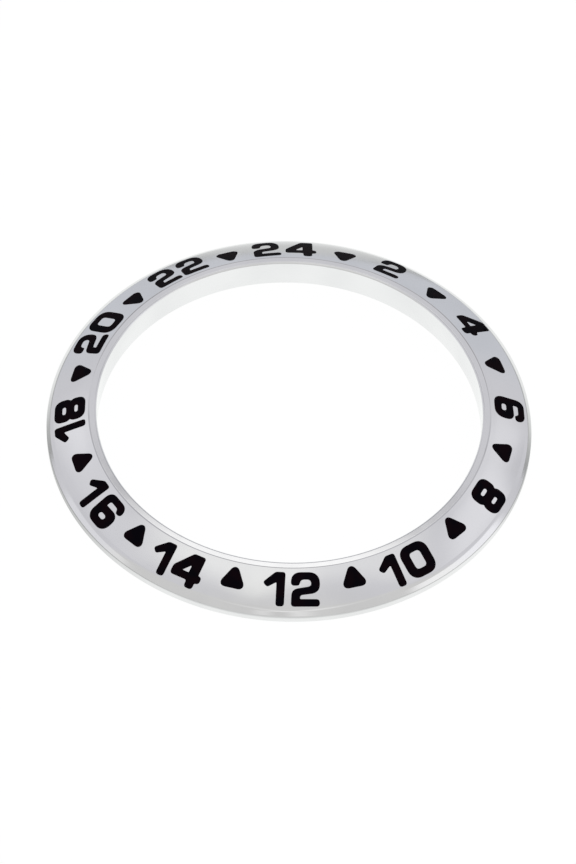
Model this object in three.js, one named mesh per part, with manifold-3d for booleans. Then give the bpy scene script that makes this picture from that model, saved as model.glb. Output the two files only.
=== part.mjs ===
import * as THREE from 'three';
import { mergeVertices } from 'three/addons/utils/BufferGeometryUtils.js';
import Module from 'manifold-3d';

// Fixed 24-hour watch bezel: a steel ring with a sloping face, and black lacquer in engraved pockets.
// Millimetres, +Z up. The origin is the centre of the underside, and the number 24 stands at +Y.
// Seen from above the hours run clockwise, 15 degrees apart.

const wasm = await Module();
wasm.setup();

// Ring
const BORE_DIAMETER = 30.6;
const RING_WIDTH = 4;
const RING_HEIGHT = 2.54;
const LAND_WIDTH = 0.68;
const LAND_EDGE_BREAK = 0.05;
const WALL_HEIGHT = 0.71;
const SHOULDER_WIDTH = 0.36;
const SHOULDER_HEIGHT = 0.44;
const SHOULDER_CROWN = 0.03;
const SHOULDER_STEPS = 3;
const BASE_CHAMFER = 0.12;
const RING_STEPS = 96;

// Engraving, measured square to the sloping face
const POCKET_DEPTH = 0.2;
const LACQUER_RECESS = 0.03;
const LACQUER_CLEARANCE = 0.015;

// Figures, measured along the sloping face. The numbers fill it but for a margin above and below them.
const NUMBER_MARGIN = 0.29;
// The triangles' height, width and setback from the land are those of their sides, drawn on to a point.
const TRIANGLE_HEIGHT = 2.03;
const TRIANGLE_WIDTH = 2.3;
const TRIANGLE_CORNER = 0.33;
const TRIANGLE_SETBACK = 0.02;

// How closely round corners are followed, and how far a cutting body runs past what it cuts
const CHORD_ERROR = 0.02;
const OVERRUN = 0.25;

// Hour layout, in degrees from +X seen from above
const HOUR_24_ANGLE = 90;
const HOUR_STEP = -15;

// Each digit is a list of loops of corners: share of the number's height across, share of it up, share
// of it for the corner's radius. The paint lies to the left of every loop, so counters run clockwise.
const DIGIT_LOOP_SHARES = {
  0: [box(0.455, -0.5, 0.5, 0.29), counter(box(0.174, -0.257, 0.257, 0.08))],
  1: [[
    [0.045, -0.5, 0.07],
    [0.285, -0.5, 0.07],
    [0.285, 0.5, 0.06],
    [0.01, 0.5, 0.08],
    [-0.35, 0.185, 0.06],
    [-0.222, 0.048, 0.06],
    [0.045, 0.205, 0.02],
  ]],
  2: [[
    [-0.42, -0.5, 0.075],
    [0.41, -0.5, 0.07],
    [0.41, -0.29, 0.075],
    [-0.155, -0.285, 0.01],
    [-0.15, -0.17, 0.06],
    [0.42, -0.095, 0.23],
    [0.42, 0.5, 0.275],
    [-0.39, 0.5, 0.23],
    [-0.405, 0.115, 0.07],
    [-0.17, 0.115, 0.06],
    [-0.13, 0.29, 0.1],
    [0.175, 0.29, 0.1],
    [0.175, 0.09, 0.07],
    [-0.39, 0, 0.19],
  ]],
  4: [
    [
      [0, -0.5, 0.075],
      [0.26, -0.5, 0.075],
      [0.26, -0.3, 0.035],
      [0.39, -0.275, 0.075],
      [0.39, -0.06, 0.075],
      [0.275, -0.06, 0.03],
      [0.275, 0.5, 0.06],
      [-0.09, 0.5, 0.065],
      [-0.54, -0.01, 0.105],
      [-0.545, -0.285, 0.08],
      [0, -0.285, 0.045],
    ],
    counter([
      [-0.03, -0.06, 0.01],
      [-0.03, 0.155, 0.01],
      [-0.23, -0.06, 0.01],
    ]),
  ],
  6: [
    [
      [0.41, -0.5, 0.27],
      [0.41, 0.15, 0.23],
      [-0.16, 0.125, 0.01],
      [-0.16, 0.29, 0.055],
      [0.16, 0.29, 0.07],
      [0.225, 0.17, 0.06],
      [0.415, 0.18, 0.09],
      [0.415, 0.5, 0.23],
      [-0.41, 0.5, 0.23],
      [-0.41, -0.5, 0.27],
    ],
    counter(box(0.12, -0.259, -0.111, 0.055, -0.01)),
  ],
  8: [
    bothSides([
      [0.41, -0.5, 0.23],
      [0.41, -0.105, 0.11],
      [0.35, -0.02, 0.015],
      [0.42, 0.07, 0.11],
      [0.42, 0.5, 0.23],
    ]),
    counter(box(0.139, 0.125, 0.24, 0.055)),
    counter(box(0.129, -0.26, -0.155, 0.05)),
  ],
};

// Where the engraver set each figure: how far round the ring it stands from its hour's line and how far
// outward from its row, as shares of the number's height, and its lean in degrees. Distances round the
// ring and leans are positive anticlockwise seen from above. The marks are not quite even, as on a
// hand-guided engraving.
const NUMBER_SHARES = [
  { hour: 24, topsOut: true, digits: [[2, 0.54, 0, 3.1], [4, -0.605, 0, 3.4]] },
  { hour: 2, topsOut: true, digits: [[2, 0.04, 0.055, 0.9]] },
  { hour: 4, topsOut: true, digits: [[4, 0.105, 0.04, 1.1]] },
  { hour: 6, topsOut: true, digits: [[6, 0.14, 0.03, -0.7]] },
  { hour: 8, topsOut: false, digits: [[8, 0.135, 0.04, -0.8]] },
  { hour: 10, topsOut: false, digits: [[1, -0.545, 0.03, 0.3], [0, 0.345, 0.01, -0.9]] },
  { hour: 12, topsOut: false, digits: [[1, -0.61, 0.005, 1], [2, 0.265, 0.01, -2.1]] },
  { hour: 14, topsOut: false, digits: [[1, -0.68, 0.035, 5.1], [4, 0.285, 0.03, -1.3]] },
  { hour: 16, topsOut: false, digits: [[1, -0.455, 0.015, 1.9], [6, 0.43, 0.01, -1.1]] },
  { hour: 18, topsOut: true, digits: [[1, 0.615, 0.005, -1.5], [8, -0.21, -0.005, -0.4]] },
  { hour: 20, topsOut: true, digits: [[2, 0.56, 0.005, 2.4], [0, -0.425, -0.005, -1.7]] },
  { hour: 22, topsOut: true, digits: [[2, 0.49, -0.01, 0.6], [2, -0.48, -0.005, 0.6]] },
];
const TRIANGLE_SHARES = [
  { hour: 1, across: -0.2, outward: 0.025, lean: 4.2 },
  { hour: 3, across: 0.065, outward: 0.065, lean: 2.9 },
  { hour: 5, across: 0.155, outward: 0.06, lean: 0.7 },
  { hour: 7, across: 0.16, outward: 0.015, lean: -2.4 },
  { hour: 9, across: 0.215, outward: -0.03, lean: -3 },
  { hour: 11, across: 0.015, outward: -0.02, lean: -1.2 },
  { hour: 13, across: -0.145, outward: 0, lean: -0.1 },
  { hour: 15, across: -0.035, outward: 0.025, lean: 0.8 },
  { hour: 17, across: 0.12, outward: -0.01, lean: -0.7 },
  { hour: 19, across: 0.075, outward: -0.025, lean: -0.7 },
  { hour: 21, across: 0.075, outward: -0.035, lean: -0.2 },
  { hour: 23, across: 0.03, outward: 0.005, lean: 1.9 },
];

// Sizes that follow from the ones above
const boreRadius = BORE_DIAMETER / 2;
const outerRadius = boreRadius + RING_WIDTH;
const landRadius = boreRadius + LAND_WIDTH;
const faceEndRadius = outerRadius - SHOULDER_WIDTH;
const faceEndHeight = WALL_HEIGHT + SHOULDER_HEIGHT;
const faceFall = RING_HEIGHT - faceEndHeight;
const faceRun = faceEndRadius - landRadius;
const faceSlope = Math.atan2(faceFall, faceRun);
const faceLength = Math.hypot(faceFall, faceRun);
const numberHeight = faceLength - 2 * NUMBER_MARGIN;
const numberCircleRadius = landRadius + faceRun / 2;

// Corner lists for the figures

function box(halfWidth, low, high, radius, centre = 0) {
  return [
    [centre - halfWidth, low, radius],
    [centre + halfWidth, low, radius],
    [centre + halfWidth, high, radius],
    [centre - halfWidth, high, radius],
  ];
}

function counter(corners) {
  return [...corners].reverse();
}

function bothSides(rightHalf) {
  const leftHalf = [...rightHalf].reverse().map(([across, up, radius]) => [-across, up, radius]);
  return [...rightHalf, ...leftHalf];
}

function scaledLoops(loopShares, size) {
  return loopShares.map((loop) => loop.map((corner) => corner.map((share) => share * size)));
}

// A triangle with its apex up, centred at half its height.
function triangleLoops() {
  return [[
    [-TRIANGLE_WIDTH / 2, -TRIANGLE_HEIGHT / 2, TRIANGLE_CORNER],
    [TRIANGLE_WIDTH / 2, -TRIANGLE_HEIGHT / 2, TRIANGLE_CORNER],
    [0, TRIANGLE_HEIGHT / 2, TRIANGLE_CORNER],
  ]];
}

// For each corner: the corner, its radius, and the unit directions of the edges that enter and leave it.
function cornerFrames(corners) {
  const points = corners.map(([across, up]) => new THREE.Vector2(across, up));
  return points.map((point, index) => {
    const before = points.at(index - 1);
    const after = points[(index + 1) % points.length];
    const arriving = point.clone().sub(before).normalize();
    const leaving = after.clone().sub(point).normalize();
    return { point, radius: corners[index][2], arriving, leaving };
  });
}

// The loop moved into the paint by a gap, parallel to itself, so that lacquer clears its pocket's wall.
function insetLoop(corners, gap) {
  return cornerFrames(corners).map(({ point, radius, arriving, leaving }) => {
    const leftOfArriving = new THREE.Vector2(-arriving.y, arriving.x);
    const leftOfLeaving = new THREE.Vector2(-leaving.y, leaving.x);
    const move = leftOfArriving.clone().add(leftOfLeaving);
    move.multiplyScalar(gap / (1 + leftOfArriving.dot(leftOfLeaving)));
    const turnsLeft = arriving.cross(leaving) > 0;
    const newRadius = turnsLeft ? Math.max(radius - gap, 0) : radius + gap;
    return [point.x + move.x, point.y + move.y, newRadius];
  });
}

// The loop's points with every corner rounded to its radius.
function roundedPoints(corners) {
  const points = [];
  for (const { point, radius, arriving, leaving } of cornerFrames(corners)) {
    const turn = Math.atan2(arriving.cross(leaving), arriving.dot(leaving));
    const cutBack = radius * Math.tan(Math.abs(turn) / 2);
    const side = Math.sign(turn);
    const start = point.clone().addScaledVector(arriving, -cutBack);
    const toCentre = new THREE.Vector2(-arriving.y, arriving.x).multiplyScalar(side * radius);
    const centre = start.clone().add(toCentre);
    const largestStep = 2 * Math.acos(Math.max(1 - CHORD_ERROR / Math.max(radius, CHORD_ERROR), 0));
    const steps = Math.max(1, Math.ceil(Math.abs(turn) / largestStep));
    for (let step = 0; step <= steps; step += 1) {
      points.push(start.clone().rotateAround(centre, (turn * step) / steps));
    }
  }
  return points;
}

function shapeOf(loops) {
  const [outline, ...counters] = loops.map(roundedPoints);
  const shape = new THREE.Shape(outline);
  shape.holes = counters.map((points) => new THREE.Path(points));
  return shape;
}

// Solids

function solidOf(geometry) {
  geometry.deleteAttribute('normal');
  geometry.deleteAttribute('uv');
  const merged = mergeVertices(geometry);
  const mesh = new wasm.Mesh({
    numProp: 3,
    vertProperties: Float32Array.from(merged.attributes.position.array),
    triVerts: Uint32Array.from(merged.index.array),
  });
  return new wasm.Manifold(mesh);
}

function geometryOf(solid) {
  const mesh = solid.getMesh();
  const geometry = new THREE.BufferGeometry();
  geometry.setAttribute('position', new THREE.BufferAttribute(mesh.vertProperties, 3));
  geometry.setIndex(new THREE.BufferAttribute(mesh.triVerts, 1));
  geometry.computeVertexNormals();
  return geometry;
}

// A closed profile of [radius, height] points, listed anticlockwise, turned about the Z axis.
function revolved(profile) {
  const points = [...profile, profile[0]].map(([radius, height]) => new THREE.Vector2(radius, height));
  const geometry = new THREE.LatheGeometry(points, RING_STEPS);
  geometry.rotateX(Math.PI / 2);
  return solidOf(geometry);
}

// The slightly crowned shoulder between the sloping face and the outer wall, from the wall upwards.
function shoulderPoints() {
  const start = new THREE.Vector2(outerRadius, WALL_HEIGHT);
  const end = new THREE.Vector2(faceEndRadius, faceEndHeight);
  const along = end.clone().sub(start);
  const outward = new THREE.Vector2(along.y, -along.x).normalize();
  const points = [];
  for (let step = 0; step <= SHOULDER_STEPS; step += 1) {
    const share = step / SHOULDER_STEPS;
    const bulge = SHOULDER_CROWN * Math.sin(Math.PI * share);
    const point = start.clone().addScaledVector(along, share).addScaledVector(outward, bulge);
    points.push([Math.min(point.x, outerRadius), point.y]);
  }
  return points;
}

function plainRing() {
  return revolved([
    [boreRadius + BASE_CHAMFER, 0],
    [outerRadius - BASE_CHAMFER, 0],
    [outerRadius, BASE_CHAMFER],
    ...shoulderPoints(),
    [landRadius, RING_HEIGHT],
    [boreRadius + LAND_EDGE_BREAK, RING_HEIGHT],
    [boreRadius, RING_HEIGHT - LAND_EDGE_BREAK],
    [boreRadius, BASE_CHAMFER],
  ]);
}

// A point of the face's section at a distance down the slope from the land, raised square to the face.
function sectionPoint(downSlope, raised) {
  const radius = landRadius + downSlope * Math.cos(faceSlope) + raised * Math.sin(faceSlope);
  const height = RING_HEIGHT - downSlope * Math.sin(faceSlope) + raised * Math.cos(faceSlope);
  return [radius, height];
}

// The room that lacquer may fill: it follows the face, a recess below it, and runs past the pockets' floors.
const lacquerRoom = revolved([
  sectionPoint(0, -POCKET_DEPTH - OVERRUN),
  sectionPoint(faceLength, -POCKET_DEPTH - OVERRUN),
  sectionPoint(faceLength, -LACQUER_RECESS),
  sectionPoint(0, -LACQUER_RECESS),
]);

// A straight-sided body of a figure's outline with a flat floor, standing square to the face in its place.
function figurePrism(loops, floorDepth, { angle, downSlope, lean, topsOut }) {
  const depth = floorDepth + OVERRUN;
  const geometry = new THREE.ExtrudeGeometry(shapeOf(loops), { depth, bevelEnabled: false });
  geometry.translate(0, 0, -floorDepth);
  geometry.rotateZ(THREE.MathUtils.degToRad(lean));

  const down = new THREE.Vector3(Math.cos(faceSlope), 0, -Math.sin(faceSlope));
  const normal = new THREE.Vector3(Math.sin(faceSlope), 0, Math.cos(faceSlope));
  const up = topsOut ? down : down.clone().negate();
  const right = new THREE.Vector3().crossVectors(up, normal);
  const [radius, height] = sectionPoint(downSlope, 0);
  const place = new THREE.Matrix4().makeBasis(right, up, normal).setPosition(radius, 0, height);
  geometry.applyMatrix4(place);
  geometry.rotateZ(THREE.MathUtils.degToRad(angle));
  return solidOf(geometry);
}

function pocketAndLacquer(name, loops, place) {
  const insetLoops = loops.map((loop) => insetLoop(loop, LACQUER_CLEARANCE));
  return {
    name,
    pocket: figurePrism(loops, POCKET_DEPTH, place),
    lacquer: figurePrism(insetLoops, POCKET_DEPTH - LACQUER_CLEARANCE, place).intersect(lacquerRoom),
  };
}

// The angle at which a figure stands, in degrees from +X.
function figureAngle(hour, acrossShare) {
  const across = acrossShare * numberHeight;
  return HOUR_24_ANGLE + HOUR_STEP * hour + THREE.MathUtils.radToDeg(across / numberCircleRadius);
}

function numberFigures() {
  return NUMBER_SHARES.flatMap(({ hour, topsOut, digits }) => digits.map((entry, index) => {
    const [digit, across, outward, lean] = entry;
    const isTens = digits.length > 1 && index === 0;
    const name = `number_${String(hour).padStart(2, '0')}_${isTens ? 'tens' : 'units'}`;
    const loops = scaledLoops(DIGIT_LOOP_SHARES[digit], numberHeight);
    const downSlope = faceLength / 2 + outward * numberHeight;
    const place = { angle: figureAngle(hour, across), downSlope, lean, topsOut };
    return pocketAndLacquer(name, loops, place);
  }));
}

function triangleFigures() {
  return TRIANGLE_SHARES.map(({ hour, across, outward, lean }) => {
    const name = `triangle_${String(hour).padStart(2, '0')}`;
    const downSlope = TRIANGLE_SETBACK + TRIANGLE_HEIGHT / 2 + outward * numberHeight;
    const place = { angle: figureAngle(hour, across), downSlope, lean, topsOut: false };
    return pocketAndLacquer(name, triangleLoops(), place);
  });
}

// Assembly

function steel() {
  return new THREE.MeshStandardMaterial({ color: 0xc9cacc, roughness: 0.22, metalness: 1 });
}

function blackLacquer() {
  return new THREE.MeshStandardMaterial({ color: 0x141216, roughness: 0.3, metalness: 0 });
}

function addPiece(group, name, solid, material) {
  const mesh = new THREE.Mesh(geometryOf(solid), material);
  mesh.name = name;
  group.add(mesh);
}

const bezel = new THREE.Group();
bezel.name = 'watch_bezel';

const figures = [...numberFigures(), ...triangleFigures()];
const engravedRing = figures.reduce((ring, figure) => ring.subtract(figure.pocket), plainRing());
addPiece(bezel, 'bezel_ring', engravedRing, steel());
for (const figure of figures) {
  addPiece(bezel, `${figure.name}_lacquer`, figure.lacquer, blackLacquer());
}

export default bezel;
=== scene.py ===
import math

import bmesh
import bpy
from mathutils import Matrix, Vector


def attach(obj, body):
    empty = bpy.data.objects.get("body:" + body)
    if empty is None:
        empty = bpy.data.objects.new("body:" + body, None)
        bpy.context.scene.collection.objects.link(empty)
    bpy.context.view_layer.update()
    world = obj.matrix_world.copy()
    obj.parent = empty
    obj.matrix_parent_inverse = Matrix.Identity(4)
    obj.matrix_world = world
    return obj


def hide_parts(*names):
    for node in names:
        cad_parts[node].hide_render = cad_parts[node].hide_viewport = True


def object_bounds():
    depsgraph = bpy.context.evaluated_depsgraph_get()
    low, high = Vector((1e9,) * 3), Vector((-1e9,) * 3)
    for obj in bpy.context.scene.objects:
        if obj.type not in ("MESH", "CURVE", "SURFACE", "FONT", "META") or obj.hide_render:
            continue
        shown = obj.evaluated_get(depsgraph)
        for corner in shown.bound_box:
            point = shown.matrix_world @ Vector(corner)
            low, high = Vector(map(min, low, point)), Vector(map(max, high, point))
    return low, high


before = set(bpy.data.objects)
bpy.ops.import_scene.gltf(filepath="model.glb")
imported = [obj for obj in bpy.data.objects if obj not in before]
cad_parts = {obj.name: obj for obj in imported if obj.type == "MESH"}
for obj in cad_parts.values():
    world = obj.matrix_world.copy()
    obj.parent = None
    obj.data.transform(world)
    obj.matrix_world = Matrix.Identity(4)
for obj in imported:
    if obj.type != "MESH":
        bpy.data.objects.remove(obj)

cad_low, cad_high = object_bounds()

# Pieces are shaped in millimetres and brought to metres at the end
MM = 0.001

# Camera: a long lens, above and in front of the ring, aimed a little off its centre
LENS_MM = 187.5
SENSOR_MM = 36
CAMERA_DISTANCE = 358.83 * MM
CAMERA_ELEVATION = math.radians(50.89)
CAMERA_TURN = math.radians(-3.2)
CAMERA_ROLL = math.radians(2.05)
AIM_RIGHT = 0.083 * MM
AIM_UP = 0.284 * MM
NEAREST_SEEN = 0.01
FARTHEST_SEEN = 20

# Ring section, as radius and height in millimetres
BORE_RADIUS = 15.3
OUTER_RADIUS = cad_high.x / MM
RING_HEIGHT = cad_high.z / MM
LAND_CREASE = (15.95, RING_HEIGHT)
FACE_MIDDLE = (17.49, 1.872)
FACE_END = (18.92, 1.14)
WALL_TOP = (OUTER_RADIUS, 0.71)
BASE_CHAMFER = 0.12
RING_STEPS = 240

# Roundings of the section's corners, as width in millimetres and number of segments
BORE_EDGE_ROUNDING = (0.2, 10)
CREASE_ROUNDING = (0.07, 5)
FACE_ROUNDING = (1.3, 12)
SHOULDER_ROUNDING = (0.2, 8)
WALL_ROUNDING = (0.06, 4)
BASE_ROUNDING = (0.02, 2)

# Figures, in millimetres
OUTLINE_ROUNDING = 0.3
PRISM_HEIGHT = 0.8
COUNTER_OVERRUN = 0.2
POCKET_GROWTH = 0.024
COUNTER_GROWTH = 0.010
POCKET_CLEARANCE = 0.004
LACQUER_DROP = 0.033
RIM_START = 0.018
RIM_FLARE = 0.012
RIM_RISE = 0.03

# A corner of an outline is rounded by this share of the shorter edge at it, in this many segments
ROUNDED_SHARE = 0.49
OUTLINE_SEGMENTS = 3

# How near two places count as one, in millimetres, and in metres for the CAD's own mesh
CORNER_REACH = 0.01
OUTLINE_MERGE = 0.03
POINT_MERGE = 0.002
SEAM_MERGE = 1e-4
CUT_MERGE = 1e-6
CAD_MERGE = 1e-8
SHADING_REACH = 0.001

# How closely a face looks along a direction, as the cosine of the angle between them
ROUGHLY = 0.5
NEARLY = 0.9
EXACTLY = 0.999

# Edges that turn more than this stay creases
CREASE_ANGLE = math.radians(30)

# Steel: heights in millimetres between which the face's finish gives way to the land's, then their values
LAND_START = 2.50
LAND_REACHED = 2.53
FACE_ROUGHNESS = 0.095
LAND_ROUGHNESS = 0.04
SMUDGE_ROUGHNESS = 0.02
FACE_MARKS = 0.04
LAND_MARKS = 0.004
WAVINESS = 0.25
FACE_SLOPE = 0.75
STEEL_DARK = (0.835, 0.838, 0.845)
STEEL_LIGHT = (0.88, 0.882, 0.887)

# Lacquer
LACQUER_DARK = (0.0028, 0.0021, 0.0042)
LACQUER_LIGHT = (0.0062, 0.0024, 0.0042)
LACQUER_ROUGHNESS = 0.36
LACQUER_SPECULAR = 0.014
PORE_STRENGTH = 0.1

# Patterns of both finishes, as the number of spots in a metre, and the height of their bumps in metres
SMUDGE_SCALE = 420
MARK_SCALE = 24000
WAVE_SCALE = 230
BAND_SCALE = 180
PATCH_SCALE = 900
PORE_SCALE = 14000
BUMP_HEIGHT = 0.00001

# The part of a pattern's values over which its effect sets in
SMUDGE_RANGE = (0.35, 0.7)
BAND_RANGE = (0.3, 0.7)
PATCH_RANGE = (0.35, 0.65)

# Floor: its size and drop in metres, its colours and its brightnesses
FLOOR_SIZE = 4
FLOOR_DROP = 0.00001
WHITE = (1, 1, 1, 1)
FLOOR_IN_STEEL = (0.985, 0.995, 0.985, 1)
# Painted shade: the floor's glow that the steel mirrors is this much dimmer outside the ring than inside it
FLOOR_PAINTED_SHADE_OUTSIDE_RING = 0.92
FLOOR_GLOW = 0.965
FLOOR_IN_SHADE = (0.06, 0.06, 0.06, 1)
FLOOR_AS_LIGHT = (0.8, 0.8, 0.8, 1)


# Camera

def make_camera():
    back = Vector((0, -math.cos(CAMERA_ELEVATION), math.sin(CAMERA_ELEVATION)))
    level_right = Vector((1, 0, 0))
    level_up = back.cross(level_right)
    right = math.cos(CAMERA_ROLL) * level_right + math.sin(CAMERA_ROLL) * level_up
    up = back.cross(right)
    turn = Matrix.Rotation(CAMERA_TURN, 3, "Z")
    place = turn @ (CAMERA_DISTANCE * back - AIM_RIGHT * right - AIM_UP * up)
    axes = turn @ Matrix((right, up, back)).transposed()

    data = bpy.data.cameras.new("camera")
    data.lens = LENS_MM
    data.sensor_width = SENSOR_MM
    data.clip_start = NEAREST_SEEN
    data.clip_end = FARTHEST_SEEN
    camera = bpy.data.objects.new("camera", data)
    camera.matrix_world = Matrix.Translation(place) @ axes.to_4x4()
    bpy.context.scene.collection.objects.link(camera)
    bpy.context.scene.camera = camera


# Modelling by hand

def take(obj):
    bpy.ops.object.select_all(action="DESELECT")
    obj.select_set(True)
    bpy.context.view_layer.objects.active = obj


def edit(obj, mode="VERT"):
    take(obj)
    bpy.ops.object.mode_set(mode="EDIT")
    bpy.ops.mesh.select_mode(type=mode)


def leave():
    bpy.ops.object.mode_set(mode="OBJECT")


def pick_all():
    bpy.ops.mesh.select_all(action="SELECT")


def pick(kind, wanted):
    """Selects only the verts, edges or faces for which wanted is true."""
    bpy.ops.mesh.select_all(action="DESELECT")
    mesh = bpy.context.object.data
    shape = bmesh.from_edit_mesh(mesh)
    for element in getattr(shape, kind):
        if wanted(element):
            element.select_set(True)
    shape.select_flush_mode()
    bmesh.update_edit_mesh(mesh)


def to_metres(obj):
    take(obj)
    obj.scale = (MM, MM, MM)
    bpy.ops.object.transform_apply(location=False, rotation=False, scale=True)


def apply_modifiers(obj):
    take(obj)
    for modifier in list(obj.modifiers):
        bpy.ops.object.modifier_apply(modifier=modifier.name)


def smooth_between_creases(obj):
    take(obj)
    bpy.ops.object.shade_smooth_by_angle(angle=CREASE_ANGLE)


def smooth(obj):
    """Shades obj smooth between its creases, with the wide faces kept flat beside the narrow rounded ones."""
    smooth_between_creases(obj)
    weighting = obj.modifiers.new("weighting", "WEIGHTED_NORMAL")
    weighting.mode = "FACE_AREA"
    weighting.weight = 100
    weighting.keep_sharp = True
    apply_modifiers(obj)


def duplicate(obj):
    take(obj)
    bpy.ops.object.duplicate()
    return bpy.context.object


# Ring

def cut_section(start, end):
    """Cuts the section along the line from start to end and drops what lies outside it."""
    line = Vector((end[0] - start[0], 0, end[1] - start[1]))
    outward = Vector((line.z, 0, -line.x)).normalized()
    pick_all()
    bpy.ops.mesh.bisect(
        plane_co=(start[0], 0, start[1]), plane_no=outward, clear_outer=True, threshold=CUT_MERGE,
    )


def round_corner(corner, rounding):
    width, segments = rounding
    pick("verts", lambda v: math.hypot(v.co.x - corner[0], v.co.z - corner[1]) < CORNER_REACH)
    bpy.ops.mesh.bevel(
        affect="VERTICES", offset_type="OFFSET", offset=width, segments=segments, profile=0.5,
        clamp_overlap=True,
    )


def make_section(name, drop):
    """The face and flanks of the ring's section, as one flat face, lowered by drop."""
    width = OUTER_RADIUS - BORE_RADIUS
    bpy.ops.object.select_all(action="DESELECT")
    bpy.ops.mesh.primitive_plane_add(
        size=1,
        location=(BORE_RADIUS + width / 2, 0, RING_HEIGHT / 2),
        rotation=(math.pi / 2, 0, 0),
    )
    obj = bpy.context.object
    obj.name = name
    obj.scale = (width, RING_HEIGHT, 1)
    bpy.ops.object.transform_apply(location=True, rotation=True, scale=True)
    edit(obj)
    cut_section(FACE_MIDDLE, LAND_CREASE)
    cut_section(FACE_END, FACE_MIDDLE)
    cut_section(WALL_TOP, FACE_END)
    round_corner(FACE_MIDDLE, FACE_ROUNDING)
    pick_all()
    bpy.ops.transform.translate(value=(0, 0, -drop))
    return obj


def turn_section(obj):
    """Turns the section, which is still in edit mode, round the ring's axis."""
    pick_all()
    bpy.ops.mesh.delete(type="ONLY_FACE")
    leave()
    screw = obj.modifiers.new("turning", "SCREW")
    screw.axis = "Z"
    screw.steps = RING_STEPS
    screw.render_steps = RING_STEPS
    screw.use_merge_vertices = True
    screw.merge_threshold = SEAM_MERGE
    apply_modifiers(obj)
    edit(obj)
    pick_all()
    bpy.ops.mesh.normals_make_consistent(inside=False)
    leave()
    return obj


def make_ring():
    ring = make_section("polished_ring", 0)
    outer_foot = (OUTER_RADIUS - BASE_CHAMFER, 0)
    outer_flank = (OUTER_RADIUS, BASE_CHAMFER)
    bore_flank = (BORE_RADIUS, BASE_CHAMFER)
    bore_foot = (BORE_RADIUS + BASE_CHAMFER, 0)
    cut_section(outer_foot, outer_flank)
    cut_section(bore_flank, bore_foot)
    round_corner((BORE_RADIUS, RING_HEIGHT), BORE_EDGE_ROUNDING)
    round_corner(LAND_CREASE, CREASE_ROUNDING)
    round_corner(FACE_END, SHOULDER_ROUNDING)
    round_corner(WALL_TOP, WALL_ROUNDING)
    for corner in (outer_foot, outer_flank, bore_flank, bore_foot):
        round_corner(corner, BASE_ROUNDING)
    return turn_section(ring)


# Figures

def round_outline(obj):
    """Rounds each corner of loops of edges by nearly half of the shorter edge that meets there."""
    mesh = obj.data
    lengths = {}
    for edge in mesh.edges:
        first, second = edge.vertices
        length = (mesh.vertices[first].co - mesh.vertices[second].co).length
        for vertex in (first, second):
            lengths[vertex] = min(length, lengths.get(vertex, OUTLINE_ROUNDING))
    weights = mesh.attributes.new("bevel_weight_vert", "FLOAT", "POINT")
    for vertex, length in lengths.items():
        weights.data[vertex].value = ROUNDED_SHARE * length / OUTLINE_ROUNDING
    rounding = obj.modifiers.new("rounding", "BEVEL")
    rounding.affect = "VERTICES"
    rounding.limit_method = "WEIGHT"
    rounding.width = OUTLINE_ROUNDING
    rounding.segments = OUTLINE_SEGMENTS
    apply_modifiers(obj)


def figure_outline(node):
    """The floor outline of a lacquer piece, and the way the piece faces.

    The outline is in millimetres, as loops of edges with rounded corners, the shortest loop first.
    """
    obj = bpy.data.objects.new("figure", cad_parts[node].data.copy())
    obj.data.materials.clear()
    bpy.context.scene.collection.objects.link(obj)
    edit(obj, "FACE")
    pick_all()
    bpy.ops.mesh.remove_doubles(threshold=CAD_MERGE)
    bpy.ops.transform.resize(value=(1 / MM, 1 / MM, 1 / MM), center_override=(0, 0, 0))

    # Only the floor is kept, then only the edges round it
    shape = bmesh.from_edit_mesh(obj.data)
    floor = max((f for f in shape.faces if f.normal.z < -ROUGHLY), key=lambda f: f.calc_area())
    outward = -floor.normal
    pick("faces", lambda f: f.normal.dot(outward) > -EXACTLY)
    bpy.ops.mesh.delete(type="FACE")
    bpy.ops.mesh.select_mode(type="EDGE")
    pick("edges", lambda e: len(e.link_faces) == 2)
    bpy.ops.mesh.delete(type="EDGE_FACE")
    pick_all()
    bpy.ops.mesh.delete(type="ONLY_FACE")
    bpy.ops.mesh.remove_doubles(threshold=OUTLINE_MERGE)
    leave()
    round_outline(obj)
    edit(obj)
    pick_all()
    bpy.ops.mesh.remove_doubles(threshold=POINT_MERGE)
    pick_all()
    bpy.ops.mesh.separate(type="LOOSE")
    leave()
    loops = sorted(bpy.context.selected_objects, key=lambda loop: loop.dimensions.length)
    return loops, outward.copy()


def grow(distance):
    """Moves what is selected outwards along its normals by an even distance."""
    bpy.ops.transform.shrink_fatten(value=distance, use_even_offset=True)


def make_prism(loop, outward, low, high, growth):
    """Turns a loop of edges into a prism between two heights over it, larger all round by growth."""
    edit(loop)
    pick_all()
    bpy.ops.mesh.edge_face_add()
    bpy.ops.transform.translate(value=low * outward)
    bpy.ops.mesh.extrude_region_move(TRANSFORM_OT_translate={"value": (high - low) * outward})
    pick_all()
    bpy.ops.mesh.normals_make_consistent(inside=False)
    grow(growth)
    leave()
    return loop


def figure_prism(node):
    """The prism of a lacquer piece and those of the closed counters in it, and the way the piece faces."""
    loops, outward = figure_outline(node)
    outer = make_prism(loops.pop(), outward, 0, PRISM_HEIGHT, POCKET_GROWTH)
    counters = [
        make_prism(loop, outward, -COUNTER_OVERRUN, PRISM_HEIGHT + COUNTER_OVERRUN, -COUNTER_GROWTH)
        for loop in loops
    ]
    return outer, counters, outward


def centre_of(obj, scale):
    corners = [Vector(corner) for corner in obj.bound_box]
    return scale * sum(corners, Vector()) / len(corners)


def joined(objs):
    take(objs[0])
    for obj in objs:
        obj.select_set(True)
    bpy.ops.object.join()
    return bpy.context.object


def boolean(obj, operation, tool):
    """Cuts obj with the tool, which is used up."""
    cut = obj.modifiers.new("cut", "BOOLEAN")
    cut.operation = operation
    cut.solver = "EXACT"
    cut.object = tool
    apply_modifiers(obj)
    bpy.data.objects.remove(tool)


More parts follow.
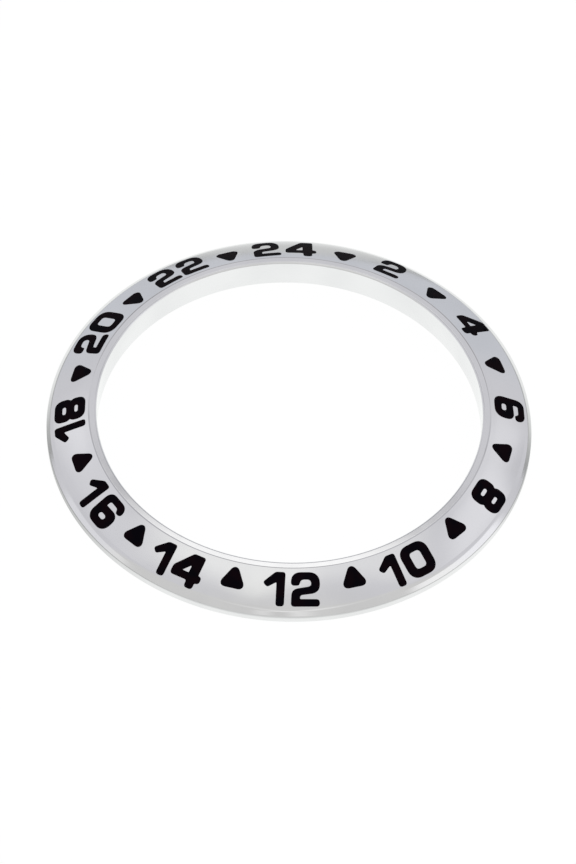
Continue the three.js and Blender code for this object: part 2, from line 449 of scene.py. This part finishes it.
def trimmed_figures(nodes, room):
    """A body for each lacquer piece, ending where the room does, and the way the piece faces."""
    ways = {}
    outers = []
    counters = []
    for node in nodes:
        outer, inner, outward = figure_prism(node)
        ways[node] = outward
        outers.append(outer)
        counters.extend(inner)
    whole = joined(outers)
    boolean(whole, "DIFFERENCE", joined(counters))
    boolean(whole, "INTERSECT", room)
    edit(whole)
    pick_all()
    bpy.ops.mesh.remove_doubles(threshold=POINT_MERGE)
    bpy.ops.mesh.separate(type="LOOSE")
    leave()
    parts = list(bpy.context.selected_objects)
    bodies = {}
    for node in nodes:
        centre = centre_of(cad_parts[node], 1 / MM)
        body = min(parts, key=lambda part: (centre_of(part, 1) - centre).length)
        parts.remove(body)
        bodies[node] = (body, ways[node])
    return bodies


def make_fill(body, node, material):
    """The lacquer piece, a little smaller than the pocket it lies in."""
    fill = duplicate(body)
    fill.name = node.replace("lacquer", "fill")
    edit(fill)
    pick_all()
    bpy.ops.transform.shrink_fatten(value=-POCKET_CLEARANCE)
    leave()
    smooth(fill)
    to_metres(fill)
    fill.data.materials.append(material)
    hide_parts(node)
    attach(fill, "root")


def flare(cutter, outward):
    """Widens the top of a cutter at 45 degrees, to break the pocket's edge, and carries it on upwards."""
    def on_top(face):
        return face.normal.dot(outward) > NEARLY

    edit(cutter, "FACE")
    pick("faces", on_top)
    bpy.ops.mesh.extrude_region_move(TRANSFORM_OT_translate={"value": RIM_START * outward})
    bpy.ops.mesh.extrude_region_move(TRANSFORM_OT_translate={"value": RIM_FLARE * outward})
    bpy.ops.mesh.select_mode(type="EDGE")
    pick("edges", lambda e: sum(on_top(f) for f in e.link_faces) == 1)
    grow(RIM_FLARE)
    bpy.ops.transform.translate(value=-RIM_FLARE * outward)
    bpy.ops.mesh.select_mode(type="FACE")
    pick("faces", on_top)
    bpy.ops.mesh.extrude_region_move(TRANSFORM_OT_translate={"value": RIM_RISE * outward})
    leave()


def engrave(ring, cutter):
    """Cuts the pockets, and gives the metal around them the shading that it had before the cut."""
    uncut = duplicate(ring)
    smooth(uncut)
    boolean(ring, "DIFFERENCE", cutter)
    smooth_between_creases(ring)
    shading = ring.modifiers.new("shading", "DATA_TRANSFER")
    shading.object = uncut
    shading.use_loop_data = True
    shading.data_types_loops = {"CUSTOM_NORMAL"}
    shading.loop_mapping = "POLYINTERP_NEAREST"
    shading.use_max_distance = True
    shading.max_distance = SHADING_REACH
    apply_modifiers(ring)
    bpy.data.objects.remove(uncut)


# Finishes

def shade(tree, kind, inputs=None, output=0, **settings):
    """Adds a node, whose inputs are values or other nodes' outputs, and returns one of its outputs."""
    made = tree.nodes.new("ShaderNode" + kind)
    for name, value in settings.items():
        setattr(made, name, value)
    for slot, value in (inputs or {}).items():
        if isinstance(value, bpy.types.NodeSocket):
            tree.links.new(value, made.inputs[slot])
        else:
            made.inputs[slot].default_value = value
    return made.outputs[output]


def calculate(tree, operation, *values):
    return shade(tree, "Math", dict(enumerate(values)), operation=operation)


def product(tree, first, *others):
    for other in others:
        first = calculate(tree, "MULTIPLY", first, other)
    return first


def ramp(tree, value, low, high, start=0, end=1):
    """Runs smoothly from start to end while value runs from low to high."""
    return shade(
        tree, "MapRange",
        {"Value": value, "From Min": low, "From Max": high, "To Min": start, "To Max": end},
        interpolation_type="SMOOTHSTEP", clamp=True,
    )


def between(tree, share, first, second):
    """The number that lies between first and second by the share."""
    return calculate(tree, "MULTIPLY_ADD", share, second - first, first)


def blend(tree, share, first, second):
    """The colour that lies between first and second by the share."""
    return shade(
        tree, "Mix", {"Factor": share, "A": (*first, 1), "B": (*second, 1)},
        output="Result", data_type="RGBA",
    )


def spots(tree, place, scale, detail):
    return shade(tree, "TexNoise", {"Vector": place, "Scale": scale, "Detail": detail})


def bump(tree, strength, height, **below):
    """The normal of a relief, which lies on top of the one that Normal names, if any."""
    return shade(
        tree, "Bump", {"Strength": strength, "Distance": BUMP_HEIGHT, "Height": height, **below},
    )


def new_material(name):
    material = bpy.data.materials.new(name)
    material.use_nodes = True
    return material, material.node_tree, material.node_tree.nodes["Principled BSDF"]


def axis_radius(tree, place):
    flat = shade(tree, "VectorMath", {0: place, 1: (1, 1, 0)}, operation="MULTIPLY")
    return shade(tree, "VectorMath", {0: flat}, output="Value", operation="LENGTH")


def polished_steel():
    material, tree, shader = new_material("polished_steel")
    place = shade(tree, "TexCoord", output="Object")
    height = shade(tree, "SeparateXYZ", {0: place}, output="Z")
    radius = axis_radius(tree, place)

    # The land is a mirror, the face a little softer, both with faint smudges
    on_land = ramp(tree, height, LAND_START * MM, LAND_REACHED * MM)
    smudges = spots(tree, place, SMUDGE_SCALE, 3)
    roughness = between(tree, on_land, FACE_ROUGHNESS, LAND_ROUGHNESS)
    smudging = ramp(tree, smudges, *SMUDGE_RANGE, 0, SMUDGE_ROUGHNESS)
    tree.links.new(calculate(tree, "ADD", roughness, smudging), shader.inputs["Roughness"])

    # Fine turning marks round the axis, and a slow waviness left by the polishing
    across = calculate(tree, "MULTIPLY_ADD", height, -FACE_SLOPE, radius)
    marks = shade(
        tree, "TexNoise", {"W": across, "Scale": MARK_SCALE, "Detail": 2}, noise_dimensions="1D",
    )
    waves = spots(tree, place, WAVE_SCALE, 1)
    turned = bump(tree, between(tree, on_land, FACE_MARKS, LAND_MARKS), marks)
    wavy = bump(tree, WAVINESS, waves, Normal=turned)
    tree.links.new(wavy, shader.inputs["Normal"])

    # Reflectance varies by a few hundredths round the ring
    bands = spots(tree, place, BAND_SCALE, 3)
    colour = blend(tree, ramp(tree, bands, *BAND_RANGE), STEEL_DARK, STEEL_LIGHT)
    tree.links.new(colour, shader.inputs["Base Color"])
    shader.inputs["Metallic"].default_value = 1
    return material


def black_lacquer():
    """Matt black, a little browner in patches, with fine pores."""
    material, tree, shader = new_material("black_lacquer")
    place = shade(tree, "TexCoord", output="Object")
    patches = spots(tree, place, PATCH_SCALE, 2)
    colour = blend(tree, ramp(tree, patches, *PATCH_RANGE), LACQUER_DARK, LACQUER_LIGHT)
    tree.links.new(colour, shader.inputs["Base Color"])
    pores = spots(tree, place, PORE_SCALE, 2)
    tree.links.new(bump(tree, PORE_STRENGTH, pores), shader.inputs["Normal"])
    shader.inputs["Roughness"].default_value = LACQUER_ROUGHNESS
    shader.inputs["Specular IOR Level"].default_value = LACQUER_SPECULAR
    return material


# Studio. Directions are given as seen by someone who stands at the camera: to the right, ahead and up.
# Those after the first three point across the slanting edges of the panels and across the side lights.

AXES = {
    "right": (1, 0, 0),
    "ahead": (0, 1, 0),
    "up": (0, 0, 1),
    "over the far edge": (-0.078, -0.786, 0.612),
    "over the near edge": (0.49, 0.83, -0.25),
    "over the right edge": (-0.243, 0.97, 0),
    "left strip": (0.775, 0.405, 0.485),
    "right strip": (-0.775, 0.405, 0.485),
}
ROOM_COLOUR = (0.648, 0.645, 0.676)
OVERHEAD_EDGES = {
    "ahead": (None, 0.14, 0.04),
    "over the near edge": (-0.517, None, 0.028),
    "over the right edge": (-0.222, None, 0.022),
}

# Each light: how much brighter or darker than the room, its colour, and its limits along some of the axes
# as lowest, highest and softness
LIGHTS = {
    "overhead panel": (0.14, (0.98, 0.99, 0.86), {"right": (-0.54, 0.5, 0.08), **OVERHEAD_EDGES}),
    "brighter part of it": (0.13, (0.98, 0.99, 0.86), {"right": (-0.44, 0.1, 0.09), **OVERHEAD_EDGES}),
    "gap beyond it": (-0.2, (1, 1, 1.08), {"right": (-0.12, 0.1, 0.04), "ahead": (0.16, 0.44, 0.04)}),
    "gap on its left": (-0.17, (1, 1, 1.02), {
        "right": (-0.49, -0.12, 0.04), "ahead": (0.17, 0.62, 0.05), "up": (0.65, None, 0.05),
    }),
    "gap on its right": (-0.13, (1, 1, 1.02), {
        "right": (0.1, 0.54, 0.04), "ahead": (0.18, 0.63, 0.05), "up": (0.6, None, 0.05),
    }),
    "far panel": (0.5, (0.93, 0.93, 0.86), {
        "right": (-0.12, 0.1, 0.04), "ahead": (0.46, None, 0.04), "over the far edge": (0, None, 0.004),
    }),
    "shade below the far panel": (-0.15, (1, 1, 1.08), {
        "right": (-0.42, 0.42, 0.1), "over the far edge": (-0.01, 0, 0.005),
    }),
    "dark wall ahead": (-0.35, (1, 1, 1.05), {
        "right": (-0.3, 0.3, 0.08), "over the far edge": (-0.36, -0.1, 0.01),
    }),
    "left side light": (0.09, (1, 1, 1), {
        "left strip": (-0.085, 0.05, 0.02), "up": (0.45, 0.8, 0.06),
    }),
    "brighter foot of it": (0.09, (1, 1, 1), {
        "left strip": (-0.05, 0.005, 0.02), "up": (0.45, 0.63, 0.05),
    }),
    "right side light": (0.16, (1, 1, 1), {
        "right strip": (-0.12, 0, 0.035), "up": (0.6, 0.8, 0.05),
    }),
    "dimmer foot of it": (0.12, (1, 1, 1), {
        "right strip": (-0.056, 0.027, 0.018), "up": (0.45, 0.6, 0.05),
    }),
    "shade beside it": (-0.05, (1, 1, 1), {
        "right strip": (-0.14, -0.06, 0.02), "up": (0.42, 0.58, 0.05),
    }),
    "low light on the right": (0.3, (1, 1, 1.02), {
        "right": (0.72, None, 0.05), "ahead": (-0.56, 0.1, 0.08), "up": (0.05, 0.46, 0.04),
    }),
    "low light on the left": (0.14, (1, 1, 1.02), {
        "right": (None, -0.84, 0.04), "ahead": (-0.4, 0.17, 0.08), "up": (0.035, 0.4, 0.04),
    }),
    "dusk ahead": (-0.03, (1.6, 1, 0.6), {"ahead": (0.78, None, 0.1), "up": (None, 0.35, 0.1)}),
    "wall behind the camera": (0.02, (0.8, 0.8, -1), {"ahead": (None, -0.25, 0.1)}),
}

# How the floor that the steel mirrors is toned with painted shade: between two places, in millimetres, a
# value runs from the third number to the fourth. The first two are shares, 1 where the name holds, and the
# rest are brightnesses of the painted shade, with a touch of painted light on the front left.
FLOOR_PAINTED_SHADE_RAMPS = {
    "outside the ring": (16, 19, 0, 1),
    "in front": (-1, 3, 1, 0),
    "beside the ring": (19.5, 27, 1, 0.56),
    "away from the ring": (24, 48, 1, 0.68),
    "front left": (-19.5, -9, 0.62, 1.05),
    "front right": (16, 19.3, 1, 0.66),
    "past the front edge": (19.66, 19.8, 1, 0.72),
}


def along(tree, place, axis):
    """How far place lies along an axis, which is given as seen from the camera."""
    turned = Matrix.Rotation(CAMERA_TURN, 3, "Z") @ Vector(axis)
    return shade(tree, "VectorMath", {0: place, 1: turned}, output="Value", operation="DOT_PRODUCT")


def light_weight(tree, places, limits):
    """1 inside the limits of a light and 0 outside them, with soft edges."""
    edges = []
    for axis, (low, high, softness) in limits.items():
        for bound, start, end in ((low, 0, 1), (high, 1, 0)):
            if bound is not None:
                edges.append(ramp(tree, places[axis], bound - softness, bound + softness, start, end))
    return product(tree, *edges)


def make_world():
    world = bpy.data.worlds.new("studio")
    bpy.context.scene.world = world
    world.use_nodes = True
    tree = world.node_tree
    direction = shade(tree, "TexCoord", output="Generated")
    places = {name: along(tree, direction, axis) for name, axis in AXES.items()}
    colour = shade(tree, "CombineXYZ", dict(enumerate(ROOM_COLOUR)))
    for change, tint, limits in LIGHTS.values():
        weight = light_weight(tree, places, limits)
        part = shade(tree, "VectorMath", {0: change * Vector(tint), "Scale": weight}, operation="SCALE")
        colour = shade(tree, "VectorMath", {0: colour, 1: part}, operation="ADD")
    mirrored = shade(tree, "Background", {"Color": colour})
    seen = shade(tree, "Background", {"Color": WHITE})
    camera_rays = shade(tree, "LightPath", output="Is Camera Ray")
    mix = shade(tree, "MixShader", {0: camera_rays, 1: mirrored, 2: seen})
    tree.links.new(mix, tree.nodes["World Output"].inputs["Surface"])


def floor_ramp(tree, value, name):
    low, high, start, end = FLOOR_PAINTED_SHADE_RAMPS[name]
    return ramp(tree, value, low * MM, high * MM, start, end)


def mirrored_floor_painted_shade(tree):
    """The floor's glow that the steel mirrors: white near the ring, with painted shade beside it, far away,
    and in front on the left, right and past the edge.
    """
    place = shade(tree, "TexCoord", output="Object")
    sideways = along(tree, place, AXES["right"])
    ahead = along(tree, place, AXES["ahead"])
    radius = axis_radius(tree, place)
    outside = floor_ramp(tree, radius, "outside the ring")
    beside = floor_ramp(tree, calculate(tree, "ABSOLUTE", sideways), "beside the ring")
    away = floor_ramp(tree, radius, "away from the ring")
    # Painted shade close in front of the ring, on the left, the right and just past its edge
    in_front = product(tree, outside, floor_ramp(tree, ahead, "in front"))
    front_level = product(
        tree,
        floor_ramp(tree, sideways, "front left"),
        floor_ramp(tree, sideways, "front right"),
        floor_ramp(tree, radius, "past the front edge"),
    )
    front = calculate(tree, "MULTIPLY_ADD", in_front, calculate(tree, "SUBTRACT", front_level, 1), 1)
    level = product(tree, between(tree, outside, 1, FLOOR_PAINTED_SHADE_OUTSIDE_RING), beside, away, front)
    return shade(tree, "Emission", {"Color": FLOOR_IN_STEEL, "Strength": level})


def make_floor():
    bpy.ops.object.select_all(action="DESELECT")
    bpy.ops.mesh.primitive_plane_add(size=FLOOR_SIZE, location=(0, 0, -FLOOR_DROP))
    floor = bpy.context.object
    floor.name = "floor"
    material, tree, shader = new_material("white_floor")
    tree.nodes.remove(shader)

    # The steel mirrors a floor toned with painted shade, the camera sees even white with a faint shadow,
    # and light a plain one
    mirrored = mirrored_floor_painted_shade(tree)
    glow = shade(tree, "Emission", {"Color": WHITE, "Strength": FLOOR_GLOW})
    plain = shade(tree, "BsdfDiffuse", {"Color": FLOOR_AS_LIGHT})
    faint = shade(tree, "BsdfDiffuse", {"Color": FLOOR_IN_SHADE})
    rays = shade(tree, "LightPath").node.outputs
    for_camera = shade(tree, "AddShader", {0: glow, 1: faint})
    mirror_rays = calculate(tree, "MAXIMUM", rays["Is Glossy Ray"], rays["Is Transmission Ray"])
    elsewhere = shade(tree, "MixShader", {0: mirror_rays, 1: plain, 2: mirrored})
    mix = shade(tree, "MixShader", {0: rays["Is Camera Ray"], 1: elsewhere, 2: for_camera})
    tree.links.new(mix, tree.nodes["Material Output"].inputs["Surface"])
    floor.data.materials.append(material)


make_camera()
ring = make_ring()
room = turn_section(make_section("room", LACQUER_DROP))
bodies = trimmed_figures(sorted(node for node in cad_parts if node.endswith("_lacquer")), room)
lacquer = black_lacquer()
for node, (body, outward) in bodies.items():
    make_fill(body, node, lacquer)
    flare(body, outward)
engrave(ring, joined([body for body, outward in bodies.values()]))
to_metres(ring)
ring.data.materials.append(polished_steel())
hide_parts("bezel_ring")
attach(ring, "root")
make_floor()
make_world()
bpy.context.scene.view_settings.view_transform = "Standard"
